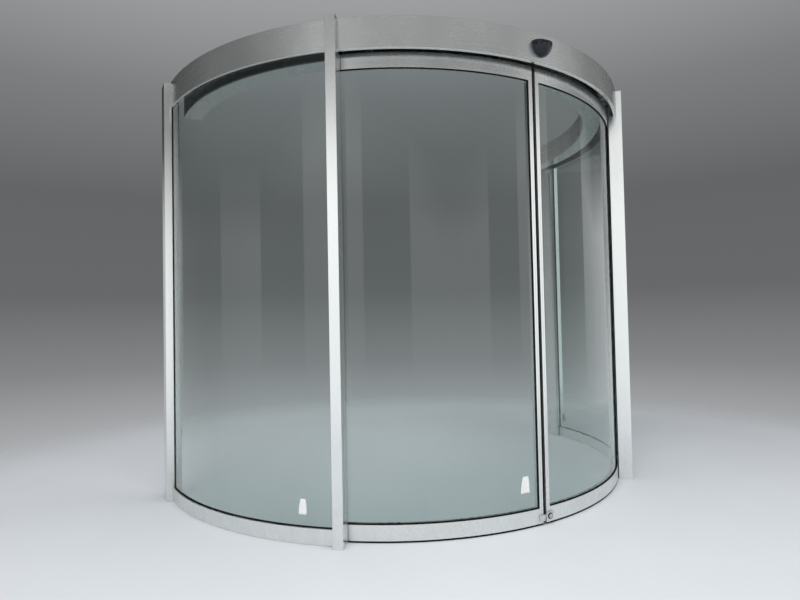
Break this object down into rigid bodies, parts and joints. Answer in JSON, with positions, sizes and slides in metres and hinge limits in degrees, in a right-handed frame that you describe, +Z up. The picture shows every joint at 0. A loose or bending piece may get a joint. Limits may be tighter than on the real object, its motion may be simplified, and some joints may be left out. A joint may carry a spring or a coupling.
{
  "type": "curved sliding door",
  "caption": "Drum-shaped automatic entrance: curved glazed leaves slide behind fixed curved glass screens under a ring header with a motion sensor.",
  "frame": {"origin": "middle of the object's box in plan, on the floor", "axes": "+Z up; -Y towards the outside, where the drum bulges and the motion sensor is; +X to the right seen from outside; the facade plane is at +Y"},
  "size_m": [3.466, 1.7628, 2.68],
  "materials": {
    "satin_aluminium": "satin anodised",
    "clear_glass": "clear, slightly green-grey",
    "black_rubber": "matt black",
    "steel_fittings": "brushed",
    "black_plastic": "black, slightly glossy"
  },
  "bodies": {
    "frame": {"fascia_centre": "satin_aluminium", "fascia_left": "satin_aluminium", "fascia_right": "satin_aluminium", "floor_guide_left": "steel_fittings", "floor_guide_right": "steel_fittings", "header_case_centre": "satin_aluminium", "header_case_left": "satin_aluminium", "header_case_right": "satin_aluminium", "mid_post_left": "satin_aluminium", "mid_post_right": "satin_aluminium", "motion_sensor": "black_plastic", "post_brush_left": "black_rubber", "post_brush_right": "black_rubber", "running_rail": "satin_aluminium", "screen_channel_left": "satin_aluminium", "screen_channel_right": "satin_aluminium", "screen_gasket_left": "black_rubber", "screen_gasket_right": "black_rubber", "screen_glass_left": "clear_glass", "screen_glass_right": "clear_glass", "screen_rail_left": "satin_aluminium", "screen_rail_right": "satin_aluminium", "wall_post_left": "satin_aluminium", "wall_post_right": "satin_aluminium"},
    "leaf_left": {"leaf_left_bottom_brush": "black_rubber", "leaf_left_bottom_rail": "satin_aluminium", "leaf_left_gasket": "black_rubber", "leaf_left_glass": "clear_glass", "leaf_left_hangers": "steel_fittings", "leaf_left_keeper": "steel_fittings", "leaf_left_meeting_seal": "black_rubber", "leaf_left_meeting_stile": "satin_aluminium", "leaf_left_top_rail": "satin_aluminium", "leaf_left_trailing_stile": "satin_aluminium"},
    "leaf_right": {"leaf_right_bottom_brush": "black_rubber", "leaf_right_bottom_rail": "satin_aluminium", "leaf_right_gasket": "black_rubber", "leaf_right_glass": "clear_glass", "leaf_right_hangers": "steel_fittings", "leaf_right_lock": "steel_fittings", "leaf_right_meeting_seal": "black_rubber", "leaf_right_meeting_stile": "satin_aluminium", "leaf_right_top_rail": "satin_aluminium", "leaf_right_trailing_stile": "satin_aluminium"}
  },
  "joints": [
    {"name": "leaf_left_slide", "type": "hinge", "parent": "frame", "child": "leaf_left", "pos_m": [0, 0.8814, 0], "axis": [0, 0, -1], "range_deg": [0, 35]},
    {"name": "leaf_right_slide", "type": "hinge", "parent": "frame", "child": "leaf_right", "pos_m": [0, 0.8814, 0], "axis": [0, 0, 1], "range_deg": [0, 35]}
  ],
  "couplings": [
    {"joint": "leaf_right_slide", "follows": "leaf_left_slide", "ratio": 1}
  ]
}
